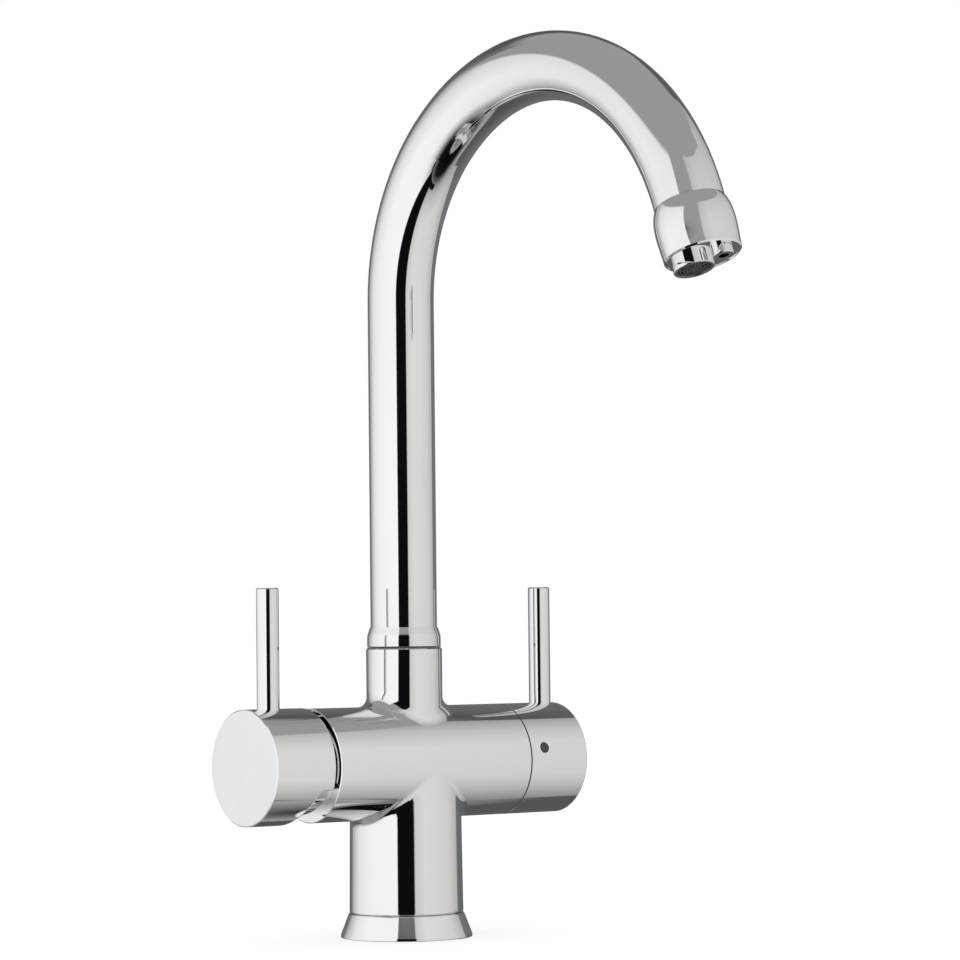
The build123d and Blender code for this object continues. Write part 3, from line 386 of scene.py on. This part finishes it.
# Sparse crossing hairlines, in patches
scratchSettings = {
    "turns": ((0, 0, 25), (70, 15, 0), (0, 80, -35)), "stretch": (1.0, 0.02, 1.0),
    "lineNoise": (2.0, 0.6), "cut": 0.68,
    "patchNoise": (2.0, 0.5), "patchScale": 35.0, "patchFrom": (0.4, 0.65),
}


def makeHairScratches(s):
    group, made, links, given, put = newGroup(
        "hairScratches",
        [("Scale", "NodeSocketFloat", 400.0), ("Spread", "NodeSocketFloat", 0.08)],
        [("Mask", "NodeSocketFloat"), ("Height", "NodeSocketFloat")],
    )
    place = made.new("ShaderNodeTexCoord").outputs["Object"]
    top = mathNode(made, links, "ADD", s["cut"], given.outputs["Spread"])
    mask = 0.0
    for turn in s["turns"]:
        stretched = stretchedPlace(made, links, place, turn, s["stretch"])
        line = noiseNode(made, links, stretched, given.outputs["Scale"], *s["lineNoise"])
        mask = mathNode(made, links, "MAXIMUM", mask, rangeNode(made, links, line, s["cut"], top))
    patches = noiseNode(made, links, place, s["patchScale"], *s["patchNoise"])
    patches = rangeNode(made, links, patches, *s["patchFrom"])
    mask = mathNode(made, links, "MULTIPLY", mask, patches)
    links.new(mask, put.inputs["Mask"])
    links.new(mathNode(made, links, "SUBTRACT", 1.0, mask), put.inputs["Height"])
    return group


# The soft waviness that polishing, plating or a mould leaves, with a finer grain on it
peelSettings = {"waveNoise": (1.0, 0.4), "grainNoise": (2.0, 0.5), "grainScale": 2600.0}


def makeOrangePeel(s):
    group, made, links, given, put = newGroup(
        "orangePeel",
        [("Scale", "NodeSocketFloat", 150.0), ("Grain", "NodeSocketFloat", 0.2)],
        [("Height", "NodeSocketFloat")],
    )
    place = made.new("ShaderNodeTexCoord").outputs["Object"]
    wave = noiseNode(made, links, place, given.outputs["Scale"], *s["waveNoise"])
    grain = noiseNode(made, links, place, s["grainScale"], *s["grainNoise"])
    grain = mathNode(made, links, "MULTIPLY", grain, given.outputs["Grain"])
    links.new(mathNode(made, links, "ADD", wave, grain), put.inputs["Height"])
    return group


# Turning marks: fine rings along an axis, uneven as a lathe leaves them
ringSettings = {
    "wobbleNoise": (1.0, 0.5), "wobbleScale": 60.0, "wobble": 0.0006,
    "bandScale": 900.0, "bandDetail": 3.0, "bandFrom": (0.35, 0.7), "bandTo": (0.2, 1.0),
}


def makeToolRings(s):
    group, made, links, given, put = newGroup(
        "toolRings",
        [("Axis", "NodeSocketVector", (0.0, 0.0, 1.0)), ("Pitch", "NodeSocketFloat", 4000.0)],
        [("Mask", "NodeSocketFloat"), ("Height", "NodeSocketFloat")],
    )
    place = made.new("ShaderNodeTexCoord").outputs["Object"]
    along = made.new("ShaderNodeVectorMath")
    along.operation = "DOT_PRODUCT"
    links.new(place, along.inputs[0])
    links.new(given.outputs["Axis"], along.inputs[1])
    wobble = noiseNode(made, links, place, s["wobbleScale"], *s["wobbleNoise"])
    wobble = mathNode(made, links, "MULTIPLY", wobble, s["wobble"])
    distance = mathNode(made, links, "ADD", along.outputs["Value"], wobble)
    phase = mathNode(made, links, "MULTIPLY", distance, given.outputs["Pitch"])
    height = rangeNode(made, links, mathNode(made, links, "SINE", phase), -1.0, 1.0)
    band = made.new("ShaderNodeTexNoise")
    band.noise_dimensions = "1D"
    band.inputs["Scale"].default_value = s["bandScale"]
    band.inputs["Detail"].default_value = s["bandDetail"]
    links.new(distance, band.inputs["W"])
    bands = rangeNode(made, links, band.outputs["Fac"], *s["bandFrom"], *s["bandTo"])
    links.new(mathNode(made, links, "MULTIPLY", height, bands), put.inputs["Mask"])
    links.new(height, put.inputs["Height"])
    return group


# Dust and dried water marks, thicker on faces that look up
dustSettings = {
    "facingFrom": (-0.6, 1.0), "facingTo": (0.35, 1.0),
    "speckNoise": (6.0, 0.7), "speckFrom": (0.48, 0.72),
    "patchNoise": (2.0, 0.5), "patchScale": 45.0, "patchFrom": (0.3, 0.7), "patchTo": (0.2, 1.0),
}


def makeCreviceDust(s):
    group, made, links, given, put = newGroup(
        "creviceDust",
        [("Scale", "NodeSocketFloat", 250.0), ("Amount", "NodeSocketFloat", 0.3)],
        [("Mask", "NodeSocketFloat")],
    )
    coordinates = made.new("ShaderNodeTexCoord")
    place = coordinates.outputs["Object"]
    upward = made.new("ShaderNodeSeparateXYZ")
    links.new(coordinates.outputs["Normal"], upward.inputs["Vector"])
    facing = rangeNode(made, links, upward.outputs["Z"], *s["facingFrom"], *s["facingTo"])
    specks = noiseNode(made, links, place, given.outputs["Scale"], *s["speckNoise"])
    specks = rangeNode(made, links, specks, *s["speckFrom"])
    patches = noiseNode(made, links, place, s["patchScale"], *s["patchNoise"])
    patches = rangeNode(made, links, patches, *s["patchFrom"], *s["patchTo"])
    mask = mathNode(made, links, "MULTIPLY", specks, patches)
    mask = mathNode(made, links, "MULTIPLY", mask, facing)
    links.new(mathNode(made, links, "MULTIPLY", mask, given.outputs["Amount"]), put.inputs["Mask"])
    return group


groups = {
    "haze": makeHandlingHaze(hazeSettings),
    "scratches": makeHairScratches(scratchSettings),
    "peel": makeOrangePeel(peelSettings),
    "rings": makeToolRings(ringSettings),
    "dust": makeCreviceDust(dustSettings),
}
print("stage: shared effects built,", len(groups), "groups")


# Finishes. "low" and "high" are the colours that haze mixes, and "rough" the roughness from clear to
# hazy; "cloud" is the haze's scale; "scratch" is a scale and a spread, "peel" a scale and a grain,
# "rings" a pitch, "bump" a strength and a distance, and "dust" a scale and an amount.
finishSettings = {
    # cast and polished: a slow waviness under the plating
    "castChrome": {
        "low": (0.862, 0.868, 0.874), "high": (0.888, 0.89, 0.892), "metallic": 1.0, "rough": (0.03, 0.055),
        "cloud": 26.0, "scratch": (520.0, 0.06), "peel": (85.0, 0.02), "bump": (0.012, 0.0004),
        "dust": (300.0, 0.05), "dustColour": (0.8, 0.8, 0.78),
    },
    # drawn and polished tube: the slowest waviness
    "tubeChrome": {
        "low": (0.864, 0.87, 0.876), "high": (0.89, 0.892, 0.894), "metallic": 1.0, "rough": (0.025, 0.05),
        "cloud": 18.0, "scratch": (380.0, 0.06), "peel": (55.0, 0.015), "bump": (0.01, 0.0004),
        "dust": (300.0, 0.04), "dustColour": (0.8, 0.8, 0.78),
    },
    # turned and polished: a little finer than the casting
    "turnedChrome": {
        "low": (0.862, 0.868, 0.874), "high": (0.888, 0.89, 0.893), "metallic": 1.0, "rough": (0.028, 0.05),
        "cloud": 40.0, "scratch": (650.0, 0.06), "peel": (120.0, 0.02), "bump": (0.01, 0.0003),
        "dust": (350.0, 0.04), "dustColour": (0.8, 0.8, 0.78),
    },
    "brass": {
        "low": (0.66, 0.46, 0.19), "high": (0.82, 0.63, 0.32), "metallic": 1.0, "rough": (0.2, 0.36),
        "cloud": 60.0, "scratch": (700.0, 0.1), "rings": 9000.0, "bump": (0.12, 0.0003),
        "dust": (400.0, 0.25), "dustColour": (0.3, 0.24, 0.15),
    },
    "steel": {
        "low": (0.5, 0.5, 0.51), "high": (0.64, 0.64, 0.65), "metallic": 1.0, "rough": (0.22, 0.38),
        "cloud": 80.0, "scratch": (900.0, 0.12), "rings": 14000.0, "bump": (0.1, 0.0002),
        "dust": (500.0, 0.15), "dustColour": (0.25, 0.24, 0.23),
    },
    # the outlet's fine steel mesh, darkened with painted shade for the shade inside the outlet
    "shadedMeshSteel": {
        "low": (0.1, 0.1, 0.1), "high": (0.22, 0.22, 0.22), "metallic": 1.0, "rough": (0.35, 0.55),
        "cloud": 120.0, "scratch": (900.0, 0.12), "rings": 14000.0, "bump": (0.1, 0.0002),
        "dust": (900.0, 0.3), "dustColour": (0.3, 0.29, 0.27),
    },
    "ceramic": {
        "low": (0.87, 0.86, 0.82), "high": (0.93, 0.92, 0.89), "metallic": 0.0, "rough": (0.1, 0.22),
        "cloud": 90.0, "scratch": (800.0, 0.08), "peel": (700.0, 0.4), "bump": (0.03, 0.0002),
        "dust": (900.0, 0.25), "dustColour": (0.62, 0.6, 0.56),
    },
    "rubber": {
        "low": (0.018, 0.018, 0.02), "high": (0.035, 0.035, 0.036), "metallic": 0.0, "rough": (0.5, 0.72),
        "cloud": 120.0, "scratch": (500.0, 0.12), "peel": (600.0, 0.9), "bump": (0.12, 0.0003),
        "dust": (600.0, 0.5), "dustColour": (0.16, 0.155, 0.15),
    },
    "whitePlastic": {
        "low": (0.76, 0.76, 0.73), "high": (0.84, 0.84, 0.82), "metallic": 0.0, "rough": (0.34, 0.5),
        "cloud": 70.0, "scratch": (600.0, 0.09), "peel": (420.0, 0.6), "bump": (0.07, 0.0003),
        "dust": (500.0, 0.22), "dustColour": (0.55, 0.53, 0.48),
    },
    # the same white plastic, darkened with painted shade where it sits in the outlet and in the spout's gap
    "paintedShadePlastic": {
        "low": (0.07, 0.068, 0.064), "high": (0.15, 0.147, 0.14), "metallic": 0.0, "rough": (0.25, 0.42),
        "cloud": 260.0, "scratch": (900.0, 0.09), "peel": (900.0, 0.6), "bump": (0.07, 0.0002),
        "dust": (1100.0, 0.45), "dustColour": (0.34, 0.33, 0.3),
    },
    "greyPlastic": {
        "low": (0.27, 0.28, 0.3), "high": (0.37, 0.38, 0.4), "metallic": 0.0, "rough": (0.4, 0.58),
        "cloud": 90.0, "scratch": (600.0, 0.09), "peel": (900.0, 0.9), "bump": (0.09, 0.0003),
        "dust": (700.0, 0.3), "dustColour": (0.5, 0.5, 0.49),
    },
    "darkPlastic": {
        "low": (0.028, 0.024, 0.023), "high": (0.05, 0.044, 0.042), "metallic": 0.0, "rough": (0.3, 0.46),
        "cloud": 150.0, "scratch": (700.0, 0.09), "peel": (700.0, 0.7), "bump": (0.08, 0.0002),
        "dust": (700.0, 0.2), "dustColour": (0.2, 0.19, 0.18),
    },
}


def placeGroup(made, key, labels, values):
    placed = made.new("ShaderNodeGroup")
    placed.node_tree = groups[key]
    for label, value in zip(labels, values):
        placed.inputs[label].default_value = value
    return placed


def mixColours(made, links, factor, one, other):
    mix = made.new("ShaderNodeMix")
    mix.data_type = "RGBA"
    links.new(factor, mix.inputs["Factor"])
    for label, value in (("A", one), ("B", other)):
        socket = next(s for s in mix.inputs if s.name == label and s.type == "RGBA")
        setInput(links, socket, value)
    return next(s for s in mix.outputs if s.type == "RGBA")


alongColumn, alongHandles = (0.0, 0.0, 1.0), (1.0, 0.0, 0.0)

# how much a full scratch or speck of dust adds to the roughness
wearSettings = {"scratches": 0.1, "dust": 0.3}


def makeFinish(name, s, axis=alongColumn):
    material, made, links = newMaterial(name)
    shader = made.new("ShaderNodeBsdfPrincipled")
    shader.inputs["Metallic"].default_value = s["metallic"]
    out = made.new("ShaderNodeOutputMaterial")
    links.new(shader.outputs["BSDF"], out.inputs["Surface"])
    haze = placeGroup(made, "haze", ("Cloud Scale", "Low", "High"), (s["cloud"], *s["rough"]))
    scratches = placeGroup(made, "scratches", ("Scale", "Spread"), s["scratch"])
    dust = placeGroup(made, "dust", ("Scale", "Amount"), s["dust"])
    colour = mixColours(made, links, haze.outputs["Mask"], (*s["high"], 1), (*s["low"], 1))
    height = scratches.outputs["Height"]
    if "peel" in s:
        peel = placeGroup(made, "peel", ("Scale", "Grain"), s["peel"])
        height = mathNode(made, links, "ADD", height, peel.outputs["Height"])
    if "rings" in s:
        rings = placeGroup(made, "rings", ("Axis", "Pitch"), (axis, s["rings"]))
        height = mathNode(made, links, "ADD", height, rings.outputs["Height"])
        colour = mixColours(made, links, rings.outputs["Mask"], (*s["low"], 1), colour)
    colour = mixColours(made, links, dust.outputs["Mask"], colour, (*s["dustColour"], 1))
    links.new(colour, shader.inputs["Base Color"])
    roughness = haze.outputs["Value"]
    for worn, share in ((scratches, wearSettings["scratches"]), (dust, wearSettings["dust"])):
        more = mathNode(made, links, "MULTIPLY", worn.outputs["Mask"], share)
        roughness = mathNode(made, links, "ADD", roughness, more)
    links.new(roughness, shader.inputs["Roughness"])
    bump = made.new("ShaderNodeBump")
    bump.inputs["Strength"].default_value = s["bump"][0]
    bump.inputs["Distance"].default_value = s["bump"][1]
    links.new(height, bump.inputs["Height"])
    links.new(bump.outputs["Normal"], shader.inputs["Normal"])
    return material


finishes = {name: makeFinish(name, s) for name, s in finishSettings.items()}
for metal in ("brass", "steel"):
    # the same metal, turned about the cross tube
    finishes[metal + "Across"] = makeFinish(metal + "Across", finishSettings[metal], alongHandles)
print("stage:", len(finishes), "finishes made")

# The record's material slot gives each node its finish, apart from the nodes in ownFinish
slotFinish = {
    "chrome": "turnedChrome", "brass": "brass", "steel": "steel", "ceramic": "ceramic", "rubber": "rubber",
    "white_plastic": "whitePlastic", "grey_plastic": "greyPlastic", "dark_plastic": "darkPlastic",
}
ownFinish = {
    "body": "castChrome", "spout_tube": "tubeChrome", "spout_head": "tubeChrome",
    "cartridge_nut": "brassAcross", "selector_housing": "brassAcross", "selector_spindle": "brassAcross",
    # the outlet's insert and the spout's glide ring get the white plastic darkened with painted shade, and
    # the outlet's mesh gets steel darkened with painted shade
    "aerator_insert": "paintedShadePlastic", "aerator_screen": "shadedMeshSteel", "spout_glide_ring": "paintedShadePlastic",
    "cartridge_stem": "steelAcross", "spindle_clip": "steelAcross", "pivot_pin": "steelAcross",
}
slotOf = {part["node"]: part["material_slot"] for part in frame["record"]["subparts"]}
for name, node in nodes.items():
    node.data.materials.clear()
    node.data.materials.append(finishes[ownFinish.get(name, slotFinish[slotOf[name]])])
print("stage:", len(nodes), "nodes dressed")

bpy.context.scene.view_settings.view_transform = "Standard"
